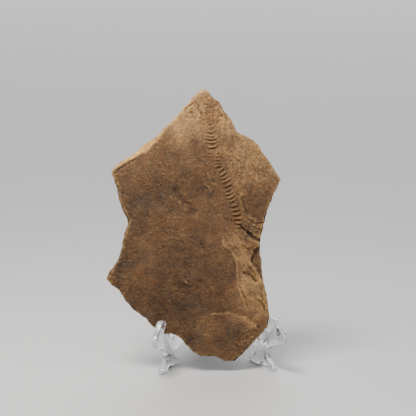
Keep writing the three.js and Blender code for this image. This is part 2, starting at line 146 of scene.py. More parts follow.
# The hollow between the trackway and the right rim, and the broken facet below it.
SCOOP = [
    (17.8, 102.8), (22.4, 104.1), (28.8, 104.3), (35, 104.3), (33.5, 92), (30, 85.9), (25.5, 86.5),
    (20.9, 89.2), (18.4, 92.4), (17.2, 97),
]
SCOOP_CREASE = [(16.6, 101.6), (17.4, 98.5), (18.5, 95), (19.5, 91.5), (20.6, 88.8)]
RIGHT_FACET = [
    (30, 72), (26.4, 71.6), (23.9, 69.8), (23.5, 66.3), (21.3, 63.9), (23, 61.6), (25.4, 58.1), (26.8, 54.6),
    (30, 49.5), (34, 60),
]
CHIPPED_TIP = [(-65, 54), (-60, 65), (-54.4, 64.4), (-52, 60), (-52.6, 55), (-51.4, 49), (-56, 44), (-62, 46)]
# The sculpted lobe at the lower right.
LOBE_CENTRE = (20.6, 47.6)
LOBE_FOLD = [(15.8, 56), (18.7, 56.7), (21, 55.3), (23, 52.9), (25, 50.3)]
LOBE_RIM = [(14.6, 53.6), (17.5, 53.4), (20, 51.8), (22.2, 49), (23.4, 45.5)]
LOBE_EDGE = [(22.3, 63), (25.6, 57.4), (28.4, 52.2), (28.2, 44), (29.8, 38), (31, 33)]
LOBE_SEAM = [(15.1, 47.1), (16.4, 44.8), (18.4, 41.9)]
FACET_LIP = [(20, 63.3), (22, 60.1), (24, 56.9), (25.9, 53.5), (28.1, 50.5)]
CORNER_GLINT = [(24.4, 43), (26.4, 42.6), (27.5, 40.4), (28.8, 37.8), (30.4, 34.6)]
# Small features: a nodule, single streaks, edges of beds at the rim, short marks and pits.
NODULE = (-16.2, 52.4)
NODULE_TAIL = [(-17, 53.2), (-14.6, 51.6), (-12.6, 50.2)]
STREAK = [(-7.6, 22), (-4, 21.8)]
SIDE_LEDGE = [(-57.4, 113.6), (-52.1, 115.5), (-48.1, 115.7)]
CORNER_SHADOW = [(-55.5, 116.3), (-51.5, 118.8), (-46.3, 121.6), (-42.3, 123.7)]
TOP_LAYER = [(-15.2, 150.3), (-12.9, 152.5), (-11.5, 153.9), (-9.6, 155.8)]
SMALL_MARKS = [[(-29.3, 121.4), (-28.9, 117.6)], [(-28.9, 115), (-27.2, 114)]]
# A pit: across, up, radius and depth.
PITS = [
    (1.1, 109.4, 0.8, 0.7), (-25.6, 83.1, 0.8, 0.4), (-22.5, 50.8, 1.2, 0.5), (-9.6, 92.6, 0.7, 0.3),
    (2.7, 112.6, 0.5, 0.4), (-3.6, 48.6, 0.9, 0.3), (-18.4, 41.8, 0.9, 0.3), (-10.1, 149, 1.0, 0.5),
    (-4.3, 149.2, 0.9, 0.5),
]
# Cracks that run in from the right rim, with small broken steps beside them.
DEEP_CRACK = [
    (15.3, 84.4), (17, 82.4), (18.7, 80.9), (20.4, 79.4), (22.7, 77.7), (25, 75.9), (27.8, 74.7), (31, 73.8),
]
LAYER_CRACK = [(17.8, 89.5), (20.6, 88.6), (22.3, 87.2), (24.6, 85.4), (27, 85.2), (32, 85.8)]
BROKEN_STEPS = [
    [(15.9, 86.4), (19.3, 83.2), (23.9, 79.6), (26.8, 77.9)], [(22.2, 83.4), (25.7, 81.6), (28.6, 80.4)],
    [(11.8, 80.7), (14.6, 77.8), (18, 75.2)], [(16.2, 73.2), (19.1, 71.1), (22.5, 70.2)],
]
LOW_CRACK = [(24.9, 71.4), (21.6, 64.6), (24.6, 60.4), (27.5, 54), (30.5, 49)]
# The furrowed top point.
TIP_CRESTS = [
    [(-13.6, 149.9), (-11.5, 152.2), (-9.2, 154.2)], [(-10.1, 152.2), (-8.7, 150.5), (-7.3, 148.1)],
    [(-8, 151.9), (-6.6, 149.9), (-5.5, 147.2)], [(-5.1, 153.6), (-4, 150.7), (-2.4, 146.6)],
    [(-1, 158.5), (1.9, 156.7), (3.6, 154.1)], [(3.6, 154.1), (6.4, 150.6), (9.2, 145.9)],
]
TIP_GROOVES = [
    [(-7.7, 153.3), (-6.3, 151), (-5, 147.8)], [(-11.5, 150.5), (-9.8, 148.7)],
    [(-8.5, 156.2), (-7.1, 154.8), (-6, 153)], [(-3.9, 154.7), (-1.9, 154), (0.1, 154.1)],
    [(6.9, 148.8), (8.9, 146.8), (9.7, 144.2)],
]

# A fold: its line, the height and width of its crest, the step up on the line's left, and how far that
# step reaches.
FOLDS = [
    (CENTRE_RIDGE, 0.42, 0.6, 0.25, 5.0),
    (RIDGE_GROOVE, -0.55, 0.5, 0.0, 3.0),
    (ARCHED_LEDGE[::-1], 0.22, 0.7, 0.6, 7.0),
    (LOBE_FOLD, -1.7, 0.8, -0.4, 3.0),
    (LOBE_RIM, 0.45, 1.2, -0.3, 3.0),
    (LOBE_EDGE, 0.35, 0.8, 0.45, 5.0),
    (LOBE_SEAM, -0.4, 0.55, 0.0, 3.0),
    (FACET_LIP, 0.8, 0.7, 0.0, 3.0),
    (CORNER_GLINT, 1.1, 0.5, 0.3, 3.0),
    (TRACK_SIDE_RIDGE, 0.3, 0.8, 0.2, 4.0),
    (SCOOP_CREASE, -0.4, 0.5, -0.35, 6.0),
    (FOLD_ARC, 0.2, 0.7, 0.2, 4.0),
    (SIDE_LEDGE, 0.2, 0.5, -0.4, 4.0),
    (CORNER_SHADOW, -0.5, 0.5, 0.0, 3.0),
    (TOP_LAYER, -0.8, 0.4, 0.0, 3.0),
    (DIAGONAL_VALLEY, -0.65, 2.1, -0.2, 5.0),
    (VALLEY_CREST, 0.3, 1.6, 0.0, 5.0),
    (LEFT_SWIRL, 0.22, 0.8, 0.15, 4.0),
    (NODULE_TAIL, 0.3, 0.6, 0.1, 3.0),
    (STREAK, 0.5, 0.5, 0.0, 3.0),
    (DEEP_CRACK, -2.1, 0.9, 0.4, 5.0),
    (LAYER_CRACK, -0.5, 0.45, 0.35, 5.0),
    (LOW_CRACK, -0.5, 0.6, 0.0, 3.0),
    *[(line, 0.3, 0.5, 0.0, 3.0) for line in SMALL_MARKS + RIDGE_STREAKS],
    *[(line, 0.6, 0.6, 0.1, 3.0) for line in TIP_CRESTS],
    *[(line, -0.4, 0.7, 0.3, 3.0) for line in BROKEN_STEPS],
    *[(line, -0.6, 0.7, 0.0, 3.0) for line in TIP_GROOVES],
    *[(line, -0.24, 0.6, 0.1, 3.0) for line in FLAT_LINES],
]
FIRST_FOLD_SEED = 200

# ---- Scratch marks of the trackway: (across, up, slope in degrees, length, strength) ----
BOWED_MARKS = [
    (-0.1, 143.6, 0, 4.0, 0.35), (0.2, 141.2, 4, 5.0, 0.5), (0.4, 138.5, 4, 6.0, 0.75),
    (-0.3, 136.2, 0, 6.2, 0.7), (0.1, 134.3, -3, 6.6, 0.8), (0.4, 132.2, 0, 6.8, 0.95),
    (0.6, 129.6, 3, 7.2, 1.15),
]
PAIRED_MARKS = [
    (-0.4, 126.2, -12, 3.2, 0.6), (3.7, 126.4, 24, 3.0, 0.6), (-0.4, 124.4, -8, 2.8, 0.45),
    (3.8, 124.3, 12, 3.0, 0.55), (3.3, 122.0, 5, 4.2, 0.7), (3.4, 120.2, 8, 4.2, 0.6),
    (3.9, 118.3, 14, 4.6, 0.75),
]
SLANTED_MARKS = [
    (5.6, 116.3, 36, 6.2, 0.9), (6.6, 113.8, 32, 6.2, 1.0), (7.2, 111.6, 24, 5.6, 0.75),
    (8.4, 109.6, 20, 6.8, 1.0), (9.0, 107.2, 26, 6.6, 1.0), (9.5, 104.6, 24, 6.2, 0.8),
    (9.8, 102.4, 20, 6.0, 0.9), (10.4, 100.2, 20, 6.0, 0.9), (11.1, 98.1, 18, 5.8, 0.8),
    (12.6, 95.4, 12, 6.0, 0.95), (13.4, 92.9, 9, 6.0, 1.0), (14.0, 90.4, 7, 5.8, 1.05),
    (14.6, 87.9, 4, 5.6, 1.0), (15.0, 85.3, 2, 5.2, 0.9), (15.5, 82.9, -4, 4.6, 0.7),
]
# The line that the trackway follows, and half the width of its finer mesh.
TRACK_LINE = [(0, 145), (0.5, 130), (3.5, 120), (8, 110), (10.5, 100), (13.5, 92), (15.6, 82)]
TRACK_HALF_WIDTH = 5.5
# A mark's height, how far it bows, and the widths of its crest and of the hollow below it.
MARK_HEIGHT = 0.62
MARK_BOW = 0.9
MARK_CREST = 0.58
MARK_HOLLOW = 0.5
# How deep the hollow is, as a share of the crest. The upper slanted marks are worn.
BOWED_HOLLOW = 0.8
PAIRED_HOLLOW = 0.6
SLANTED_HOLLOW = 0.75
WORN_HOLLOW = 0.35
WORN_MARKS_ABOVE = 95.0

# The slopes of the face's streaks and wrinkles, in degrees.
STREAK_SLOPE = -50
STEEP_STREAK_SLOPE = -64
WRINKLE_SLOPE = -42
LEVEL_WRINKLE_SLOPE = 3


# ---- Small maths on whole arrays of points ----
def smooth(low, high, value):
    """0 at low and 1 at high, with a soft start and end. It falls where low is the greater."""
    share = np.clip((value - low) / (high - low), 0.0, 1.0)
    return share * share * (3.0 - 2.0 * share)


def bell(distance, width):
    """1 at no distance, dying away over about a width."""
    return np.exp(-((distance / width) ** 2))


def rounded(line, rounds=2):
    """The same line with its corners cut."""
    for _ in range(rounds):
        cut = [line[0]]
        for (ax, ay), (bx, by) in zip(line, line[1:]):
            cut.append((ax * 0.75 + bx * 0.25, ay * 0.75 + by * 0.25))
            cut.append((ax * 0.25 + bx * 0.75, ay * 0.25 + by * 0.75))
        line = cut + [line[-1]]
    return line


def beside_line(points, line):
    """Each point's distance to a line, its side (1 on the left), and how far along the line it lies."""
    corners = np.array(line, float)
    lengths = np.linalg.norm(np.diff(corners, axis=0), axis=1)
    passed = np.concatenate([[0], np.cumsum(lengths)])
    nearest = np.full(len(points), np.inf)
    side = np.ones(len(points))
    share = np.zeros(len(points))
    for start, end, length, before in zip(corners, corners[1:], lengths, passed):
        along = (end - start) / length
        offset = points - start
        reach = np.clip(offset @ along, 0.0, length)
        distance = np.linalg.norm(offset - reach[:, None] * along, axis=1)
        closer = distance < nearest
        nearest[closer] = distance[closer]
        side[closer] = np.sign(along[0] * offset[closer, 1] - along[1] * offset[closer, 0])
        share[closer] = (before + reach[closer]) / passed[-1]
    return nearest, side, share


def distance_to_line(points, line):
    """Each point's distance to a line."""
    return beside_line(points, line)[0]


def value_along(points, line, values):
    """Each point's distance to a line, and a measure there that is given at each of the line's points."""
    distance, _, share = beside_line(points, line)
    passed = np.concatenate([[0], np.cumsum(np.linalg.norm(np.diff(np.array(line), axis=0), axis=1))])
    return distance, np.interp(share, passed / passed[-1], values)


def distance_inward(points, region):
    """Distance to a region's edge, negative outside it."""
    inside = np.zeros(len(points), bool)
    across, up = points.T
    for (ax, ay), (bx, by) in zip(region, region[1:] + region[:1]):
        if ay == by:
            continue
        crosses = (ay > up) != (by > up)
        inside ^= crosses & (across < ax + (bx - ax) * (up - ay) / (by - ay))
    return distance_to_line(points, region + region[:1]) * np.where(inside, 1.0, -1.0)


def gradient_noise(points, cell, seed):
    """Smooth noise from about -1 to 1, with lumps about one cell wide."""
    if points.shape[1] == 2:
        points = np.column_stack([points, np.zeros(len(points))])
    rng = np.random.RandomState(seed)
    table = rng.permutation(256)
    slopes = rng.normal(size=(256, 3))
    slopes /= np.linalg.norm(slopes, axis=1)[:, None]
    grid = points / np.asarray(cell, float)
    base = np.floor(grid).astype(int)
    inner = grid - base
    fade = inner * inner * inner * (inner * (inner * 6 - 15) + 10)
    total = np.zeros(len(points))
    for corner in np.ndindex(2, 2, 2):
        step = np.array(corner)
        lattice = (base + step) & 255
        pick = table[(table[(table[lattice[:, 0]] + lattice[:, 1]) & 255] + lattice[:, 2]) & 255]
        value = np.einsum("ij,ij->i", slopes[pick], inner - step)
        total += value * np.prod(np.where(step == 1, fade, 1.0 - fade), axis=1)
    return total * 1.6


def layered_noise(points, cell, seed, layers=3, gain=0.5):
    """Smooth noise with finer and weaker layers on top, each with cells half as wide."""
    total = np.zeros(len(points))
    for layer in range(layers):
        total += gain ** layer * gradient_noise(points, np.asarray(cell, float) / 2 ** layer, seed + layer)
    return total


def crumbled(points, cell, seed):
    """Rounded crumbs with sharp creases between them."""
    return 1.6 * np.abs(gradient_noise(points, cell, seed)) - 0.45


def drawn_out(points, turn, long, short):
    """Points squeezed so that noise on them comes out as streaks at a slope of so many degrees."""
    slope = math.radians(turn)
    along = points[:, 0] * math.cos(slope) + points[:, 1] * math.sin(slope)
    beside = points[:, 1] * math.cos(slope) - points[:, 0] * math.sin(slope)
    return np.column_stack([along / long, beside / short, np.zeros(len(points))])


def streaked(points, turn, long, short, seed):
    """Soft streaks along a slope of so many degrees."""
    return layered_noise(drawn_out(points, turn, long, short), 1.0, seed, 2, 0.6)


def wrinkled(points, turn, long, short, seed):
    """Thin crests along a slope of so many degrees, with rounded hollows between them."""
    return -crumbled(drawn_out(points, turn, long, short), 1.0, seed)


def wandered(points, cell, amount, seed):
    """The points shifted a little by noise, so that drawn lines come out as irregular as broken stone."""
    shift = [layered_noise(points, cell, seed), layered_noise(points, cell, seed + 7)]
    return points + amount * np.column_stack(shift)


# ---- The slab's surface ----
def mark_relief(points, mark, bow, hollow):
    """A short thin ridge with a shadowed groove along its lower side."""
    across, up, turn, length, strength = mark
    slope = math.radians(turn)
    offset = points - np.array((across, up))
    along = (offset[:, 0] * math.cos(slope) + offset[:, 1] * math.sin(slope)) / length
    beside = -offset[:, 0] * math.sin(slope) + offset[:, 1] * math.cos(slope)
    beside = beside - bow * (4 * along * along - 0.5)
    fullness = np.clip(1 - (2 * along) ** 2, 0, 1)
    crest = bell(beside - 0.25, MARK_CREST)
    return strength * fullness * (crest - hollow * bell(beside + 0.85, MARK_HOLLOW))


def trackway_relief(points):
    """The scratch marks, each a little irregular, and the upper ones more worn."""
    shifted = wandered(points, 3.0, 0.35, 61)
    total = np.zeros(len(points))
    for mark in BOWED_MARKS:
        total += mark_relief(shifted, mark, MARK_BOW, BOWED_HOLLOW)
    for mark in PAIRED_MARKS:
        total += mark_relief(shifted, mark, 0.1, PAIRED_HOLLOW)
    for mark in SLANTED_MARKS:
        hollow = WORN_HOLLOW if mark[1] > WORN_MARKS_ABOVE else SLANTED_HOLLOW
        total += mark_relief(shifted, mark, MARK_BOW * 0.3, hollow)
    return MARK_HEIGHT * total * (0.95 + 0.45 * gradient_noise(points, 3.4, 65))


def fold_relief(points, line, crest, width, rise, reach, seed):
    """A crest along a line, a step up to its left that dies away, both fading in and out along it."""
    distance, side, share = beside_line(points, rounded(line))
    ends = smooth(0, 0.16, share) * smooth(1, 0.84, share)
    presence = ends * np.clip(0.9 + 0.6 * gradient_noise(points, 6, seed), 0.3, 1.4)
    fading = np.exp(-distance / reach)
    step = smooth(-width, width, side * distance) * fading - 0.25 * fading
    return presence * (crest * bell(distance, width) + rise * step)


def raised_bed(points, region, rise, worn):
    """A bed that stands up inside a region, with an edge worn over so many millimetres."""
    return rise * smooth(-worn / 2, worn / 2, distance_inward(points, rounded(region)))


def feature_relief(points):
    """Swells, beds, folds, cracks and pits, in the order of their size."""
    points = wandered(wandered(points, 6.0, 0.7, 71), 2.0, 0.3, 75)
    across, up = points.T
    height = 0.9 * bell(np.hypot(across + 30, (up - 75) / 1.4), 30)
    height += raised_bed(points, FOLD_BODY, 0.25, worn=7.0)
    height += raised_bed(points, RAISED_FOOT, 0.35, worn=6.0)
    height -= raised_bed(points, SCOOP, 0.8, worn=9.0)
    height -= raised_bed(points, RIGHT_FACET, 1.4, worn=1.7)
    height -= raised_bed(points, CHIPPED_TIP, 0.8, worn=5.0)
    height += 1.1 * bell(np.hypot(across - LOBE_CENTRE[0], up - LOBE_CENTRE[1]), 5.5)
    height += 0.35 * bell(np.hypot(across - NODULE[0], up - NODULE[1]), 1.0)
    for seed, fold in enumerate(FOLDS, FIRST_FOLD_SEED):
        height += fold_relief(points, *fold, seed=seed)
    for pit_across, pit_up, radius, depth in PITS:
        height -= depth * bell(np.hypot(across - pit_across, up - pit_up), radius)
    return height


def rough_share(points):
    """How rough the stone is: coarse at the top point and over the upper right, smooth in the scoop."""
    across, up = points.T
    past_track = smooth(-1, 7, across - np.interp(up, (83, 110, 130, 145), (15.4, 8, 0.5, -2)))
    rough = 0.4 + 0.75 * smooth(141, 150, up) + 0.5 * past_track * smooth(96, 104, up)
    rough += 0.9 * smooth(14, 18, across) * smooth(76, 80, up) * smooth(91, 88, up)
    rough += 0.9 * bell(distance_to_line(points, [(14, 14), (24, 24)]), 4)
    rough += 0.5 * bell(np.hypot(across + 55, up - 58), 8)
    return rough * (1 - 0.6 * smooth(-5, 5, distance_inward(points, SCOOP)))


def low_left(points):
    """1 along the rim's low left part, which is darker and less worn away."""
    return smooth(-25, -35, points[:, 0]) * smooth(54, 48, points[:, 1])


def rim_shape(points):
    """How far the front falls away at the broken rim, over what width, and how much is the pale bevel."""
    line = [place[:2] for place in RIM_BEVEL]
    distance, bevel = value_along(points, line, [place[2] for place in RIM_BEVEL])
    bevelled = smooth(bevel + 2.5, bevel + 0.5, distance)
    chip = smooth(0.15, 0.8, layered_noise(points, 7, 21))
    ragged = 1 + 0.5 * gradient_noise(points, 4.0, 24) + 0.3 * gradient_noise(points, 1.6, 25)
    drop = (0.35 + 0.9 * chip) * (1 - 0.6 * low_left(points)) * (1 - bevelled) + 0.85 * bevel * bevelled
    width = (0.55 + 0.9 * chip) * (1 - bevelled) + bevel * bevelled
    return drop, width * ragged, bevelled


def rim_drop(points):
    """The fall at the rim. On the bevel it goes down by two broken beds."""
    drop, width, bevelled = rim_shape(points)
    fall = 1 - np.clip(distance_inward(points, OUTLINE) / width, 0, 1)
    beds = 0.45 * smooth(0.0, 0.3, fall) + 0.55 * smooth(0.45, 0.85, fall)
    return drop * (fall ** 1.4 * (1 - bevelled) + (0.5 * fall + 0.5 * beds) * bevelled)


def front_surface(points):
    """The height of the front face: swells, rough grain, oblique streaks, wrinkles, features and marks."""
    grain = 0.42 * layered_noise(points, 21, 3, layers=2) + 0.15 * layered_noise(points, 7, 7, layers=2)
    rough = rough_share(points)
    fine = 0.22 * layered_noise(points, 2.8, 11, layers=2) + 0.14 * layered_noise(points, 1.2, 14, layers=2)
    grain += rough * fine
    grain += rough * 0.10 * crumbled(points, 4.2, 19)
    folded = 0.6 * smooth(-2, 3, distance_inward(points, FOLD_BODY)) + 0.7 * np.clip(rough - 0.4, 0, 1.2)
    streaks = 0.26 * folded * streaked(points, STREAK_SLOPE, 6.5, 1.2, 17)
    streaks += 0.12 * folded * streaked(points, STEEP_STREAK_SLOPE, 3.2, 0.9, 18)
    grain += streaks
    bent = wandered(points, 12, 2.0, 22)
    middle = smooth(60, 74, points[:, 1]) * smooth(136, 118, points[:, 1])
    grain += (0.05 + 0.13 * middle) * wrinkled(bent, WRINKLE_SLOPE, 9.0, 3.0, 27)
    grain += (0.11 - 0.04 * middle) * wrinkled(bent, LEVEL_WRINKLE_SLOPE, 11.0, 2.6, 29)
    lean_back = LEAN_BACK * np.clip(points[:, 1] - LEAN_BACK_FROM, 0, None) ** 2
    return feature_relief(points) + trackway_relief(points) + grain - lean_back


def back_surface(points):
    """A rough break across two beds."""
    across, up = points.T
    bed_edge = 78 + 9 * np.sin(across * 0.09) + 3 * np.sin(across * 0.37) + 2.0 * layered_noise(points, 8, 31)
    upper_bed = 0.9 * smooth(-1, 1, up - bed_edge)
    roughness = 0.3 * np.sin(across * 0.42 + 1) * np.sin(up * 0.36)
    roughness += 0.16 * layered_noise(points, 4, 33) + 0.1 * layered_noise(points, 1.8, 35, layers=2)
    rim = 1 - smooth(0, 3, distance_inward(points, OUTLINE))
    return -SLAB_THICKNESS + 0.55 + upper_bed + np.clip(roughness, -0.5, 0.5) + 1.2 * rim


# ---- Small Blender helpers ----
def deselect_all():
    if bpy.context.object and bpy.context.object.mode != "OBJECT":
        bpy.ops.object.mode_set(mode="OBJECT")
    bpy.ops.object.select_all(action="DESELECT")


def pick_only(piece):
    deselect_all()
    piece.select_set(True)
    bpy.context.view_layer.objects.active = piece


def apply_modifier(piece, kind, **values):
    """Adds one modifier to a piece and applies it."""
    pick_only(piece)
    modifier = piece.modifiers.new(kind.title(), kind)
    for name, value in values.items():
        setattr(modifier, name, value)
    bpy.ops.object.modifier_apply(modifier=modifier.name)


def clear_slivers(piece, longest=0.002):
    """Takes out faces and edges of no size, which a bevel can leave at a sharp meeting of outlines."""
    pick_only(piece)
    bpy.ops.object.mode_set(mode="EDIT")
    bpy.ops.mesh.select_all(action="SELECT")
    bpy.ops.mesh.dissolve_degenerate(threshold=longest * MM)
    bpy.ops.object.mode_set(mode="OBJECT")


def vertex_array(piece):
    """A piece's points, one to a row, in metres."""
    places = np.empty(len(piece.data.vertices) * 3)
    piece.data.vertices.foreach_get("co", places)
    return places.reshape(-1, 3)


def set_vertices(piece, places):
    piece.data.vertices.foreach_set("co", places.ravel())
    piece.data.update()


def filled_outline(name, corners):
    """A flat face with its corners at the given places, from a circle of as many points."""
    deselect_all()
    bpy.ops.mesh.primitive_circle_add(
        vertices=len(corners), radius=0.05, fill_type="NGON", location=(0, 0, 0),
    )
    piece = bpy.context.object
    piece.name = name
    piece.data.name = name
    set_vertices(piece, np.array(corners, float))
    return piece


def extrude_face(move, taper=1.0, centre=(0, 0, 0)):
    """Gives a flat face its thickness. The far side may be a little smaller."""
    bpy.ops.object.mode_set(mode="EDIT")
    bpy.ops.mesh.select_mode(type="FACE")
    bpy.ops.mesh.select_all(action="SELECT")
    bpy.ops.mesh.extrude_region_move(TRANSFORM_OT_translate={"value": move})
    if taper != 1.0:
        bpy.ops.transform.resize(value=(taper, taper, 1.0), center_override=centre)
    bpy.ops.mesh.select_all(action="SELECT")
    bpy.ops.mesh.normals_make_consistent(inside=False)
    bpy.ops.object.mode_set(mode="OBJECT")


def store_share(piece, name, values):
    """A value from 0 to 1 at each point, which the material reads by its name."""
    layer = piece.data.attributes.new(name, "FLOAT", "POINT")
    layer.data.foreach_set("value", np.clip(values, 0, 1).astype(np.float32))


# ---- Material building ----
class NodeBench:
    """Adds and links the nodes of one material."""

    def __init__(self, name):
        self.material = bpy.data.materials.new(name)
        self.material.use_nodes = True
        self.tree = self.material.node_tree
        self.tree.nodes.clear()
        self.coordinates = self.add("ShaderNodeTexCoord")

    def add(self, kind, inputs=None, **settings):
        node = self.tree.nodes.new(kind)
        for name, value in settings.items():
            setattr(node, name, value)
        for socket, value in (inputs or {}).items():
            self.feed(node, socket, value)
        return node

    def feed(self, node, socket, value):
        if isinstance(value, bpy.types.NodeSocket):
            self.tree.links.new(value, node.inputs[socket])
        elif isinstance(value, bpy.types.Node):
            self.tree.links.new(value.outputs[0], node.inputs[socket])
        else:
            node.inputs[socket].default_value = value

    def noise(self, scale, detail=4.0, roughness=0.55, distortion=0.0, stretch=(1, 1, 1), offset=(0, 0, 0)):
        place = self.add("ShaderNodeMapping", {"Vector": self.coordinates.outputs["Object"]})
        place.inputs["Scale"].default_value = stretch
        place.inputs["Location"].default_value = offset
        node = self.add("ShaderNodeTexNoise", {
            "Vector": place, "Scale": scale, "Detail": detail, "Roughness": roughness,
            "Distortion": distortion,
        })
        return node.outputs["Fac"]

    def ramp(self, value, stops):
        node = self.add("ShaderNodeValToRGB", {"Fac": value})
        elements = node.color_ramp.elements
        while len(elements) < len(stops):
            elements.new(0.5)
        for element, (position, color) in zip(elements, stops):
            element.position = position
            element.color = (*color, 1.0)
        return node.outputs["Color"]

    def span(self, value, low, high, to_low=0.0, to_high=1.0):
        node = self.add("ShaderNodeMapRange", {
            "Value": value, "From Min": low, "From Max": high, "To Min": to_low, "To Max": to_high,
        })
        return node.outputs["Result"]

    def maths(self, operation, first, second):
        node = self.add("ShaderNodeMath", {0: first, 1: second}, operation=operation)
        return node.outputs[0]

    def mix(self, share, first, second, blend="MIX"):
        node = self.add("ShaderNodeMix", data_type="RGBA", blend_type=blend)
        self.feed(node, "Factor", share)
        for socket, value in ((6, first), (7, second)):
            if isinstance(value, tuple) and len(value) == 3:
                value = (*value, 1.0)
            self.feed(node, socket, value)
        return node.outputs[2]

    def attribute(self, name):
        return self.add("ShaderNodeAttribute", attribute_name=name).outputs["Fac"]

    def finish(self, shader, volume=None):
        output = self.add("ShaderNodeOutputMaterial")
        self.tree.links.new(shader.outputs[0], output.inputs["Surface"])
        if volume is not None:
            self.tree.links.new(volume.outputs[0], output.inputs["Volume"])
        return self.material


# Grains of stone are a little cooler or warmer than the colour around them, by these factors.
COOL_CAST = (0.75, 0.985, 1.31)
WARM_CAST = (1.26, 1.0, 0.71)

# The clear plastic: how far it bends light, its tint through a thickness and how strong that is. The
# moulded edges are whiter and let less light through: partly a frosted finish, partly painted glint.
PLASTIC_IOR = 1.49
PLASTIC_ABSORBS = (0.90, 0.905, 0.92, 1.0)
PLASTIC_DENSITY = 6.0
EDGE_GLINT_COLOR = (0.93, 0.94, 0.96, 1.0)
EDGE_TRANSMISSION = 0.78


def sandstone_material(settings):
    """Tan, brown and umber by tone, with rust, grey-black stains, crests lighter as partly rubbed stone and
    partly painted highlight, and painted shade in the hollows.
    """
    bench = NodeBench("Brown_sandstone")
    broad = bench.noise(26, detail=5, roughness=0.6, distortion=0.4)
    mottle = bench.noise(150, detail=8, roughness=0.72)
    grain = bench.noise(950, detail=4, roughness=0.7)
    stain_noise = bench.noise(62, detail=7, roughness=0.68, distortion=0.6, offset=(0.3, 0.1, 0.2))

    tone = bench.maths("MULTIPLY_ADD", bench.attribute("tone"), 0.72)
    tone.node.inputs[2].default_value = -0.10
    tone = bench.maths("ADD", tone, bench.span(broad, 0.3, 0.7, -0.10, 0.16))
    tone = bench.maths("ADD", tone, bench.span(mottle, 0.3, 0.7, -0.15, 0.15))
    tone = bench.maths("ADD", tone, bench.span(grain, 0.28, 0.72, -0.18, 0.18))
    bedding = bench.noise(330, detail=5, roughness=0.65, stretch=(0.28, 1, 1))
    tone = bench.maths("ADD", tone, bench.span(bedding, 0.3, 0.7, -0.05, 0.05))
    color = bench.ramp(tone, [
        (0.0, tuple(settings.umber)), (0.42, tuple(settings.brown)), (1.0, tuple(settings.tan)),
    ])

    hue = bench.noise(900, detail=6, roughness=0.8, offset=(0.2, 0.4, 0.6))
    cast = bench.mix(bench.span(hue, 0.34, 0.66), COOL_CAST, WARM_CAST)
    color = bench.mix(1.0, color, cast, "MULTIPLY")
    rust = bench.span(bench.noise(95, detail=6, roughness=0.65, offset=(0.7, 0, 0)), 0.5, 0.72, 0.0, 0.3)
    color = bench.mix(rust, color, tuple(settings.rust), "SOFT_LIGHT")
    soot = bench.maths("MULTIPLY", bench.span(stain_noise, 0.43, 0.7), bench.attribute("stain"))
    color = bench.mix(bench.maths("MULTIPLY", soot, 0.85), color, tuple(settings.stain))
    speck_noise = bench.noise(520, detail=3, roughness=0.6, offset=(0, 0.5, 0))
    specks = bench.span(speck_noise, 0.62, 0.72, 0.0, 0.55)
    color = bench.mix(specks, color, tuple(settings.umber))

    # Proud crests and rims take the worn colour: partly rubbed stone, partly painted highlight. Hollows take
    # umber: painted shade.
    worn = bench.span(bench.attribute("crest_wear_and_hollow_shade"), 0.58, 1.0, 0.0, 0.42)
    color = bench.mix(worn, color, tuple(settings.worn))
    hollow = bench.span(bench.attribute("crest_wear_and_hollow_shade"), 0.46, 0.15, 0.0, 0.6)
    color = bench.mix(hollow, color, tuple(settings.umber))

    fresh_noise = bench.noise(420, detail=6, roughness=0.75, offset=(0.5, 0, 0))
    speckled = bench.span(fresh_noise, 0.36, 0.56, 0.4, 1.0)
    fresh = bench.maths("MULTIPLY", bench.attribute("fresh"), speckled)
    color = bench.mix(fresh, color, tuple(settings.fresh))

    rough = bench.span(mottle, 0.3, 0.7, 0.78, 0.97)
    bumps = bench.maths("ADD", bench.maths("MULTIPLY", grain, 0.6), bench.maths("MULTIPLY", mottle, 0.6))
    bump = bench.add("ShaderNodeBump", {"Height": bumps, "Strength": 1.0, "Distance": 0.0018})
    shader = bench.add("ShaderNodeBsdfPrincipled", {
        "Base Color": color, "Roughness": rough, "Normal": bump, "Specular IOR Level": 0.25,
    })
    return bench.finish(shader)


def plastic_absorption(bench):
    """The faint tint that thick plastic takes on."""
    return bench.add("ShaderNodeVolumeAbsorption", {"Color": PLASTIC_ABSORBS, "Density": PLASTIC_DENSITY})


def clear_plastic_material(settings):
    """The plates' broad faces, fully clear."""
    bench = NodeBench("Clear_moulded_plastic")
    haze = bench.span(bench.noise(420, detail=5, roughness=0.6), 0.35, 0.75, 0.015, 0.07)
    ripple = bench.noise(70, detail=2, roughness=0.4)
    bump = bench.add("ShaderNodeBump", {"Height": ripple, "Strength": 0.05, "Distance": 0.0008})
    shader = bench.add("ShaderNodeBsdfPrincipled", {
        "Base Color": (*settings.tint, 1.0), "Roughness": haze, "IOR": PLASTIC_IOR,
        "Transmission Weight": 1.0, "Normal": bump,
    })
    return bench.finish(shader, plastic_absorption(bench))


def glint_satin_edge_material():
    """The plates' moulded edges: partly a frosted finish that scatters the light the clear faces let through,
    partly white painted glint.
    """
    bench = NodeBench("Satin_glint_plastic_edge")
    haze = bench.span(bench.noise(380, detail=4, roughness=0.6), 0.3, 0.7, 0.02, 0.08)
    shader = bench.add("ShaderNodeBsdfPrincipled", {
        "Base Color": EDGE_GLINT_COLOR, "Roughness": haze, "IOR": PLASTIC_IOR,
        "Transmission Weight": EDGE_TRANSMISSION,
    })
    return bench.finish(shader, plastic_absorption(bench))


def pale_floor_material(settings):
    """Plain and pale, with a hardly visible cloud."""
    bench = NodeBench("Pale_floor")
    cloud = bench.noise(7, detail=3, roughness=0.5)
    pale = tuple(settings.floor_color)
    color = bench.mix(bench.span(cloud, 0.3, 0.7), pale, tuple(channel * 0.97 for channel in pale))
    shader = bench.add("ShaderNodeBsdfPrincipled", {"Base Color": color, "Roughness": 0.6})
    return bench.finish(shader)


# ---- What a user would change ----
def color_property(name, description, default):
    return bpy.props.FloatVectorProperty(
        name=name, description=description, default=default, subtype="COLOR", size=3, min=0.0, max=1.0,
    )


def length_property(name, description, default):
    return bpy.props.FloatProperty(
        name=name, description=description, default=default, unit="LENGTH", min=0.0,
    )


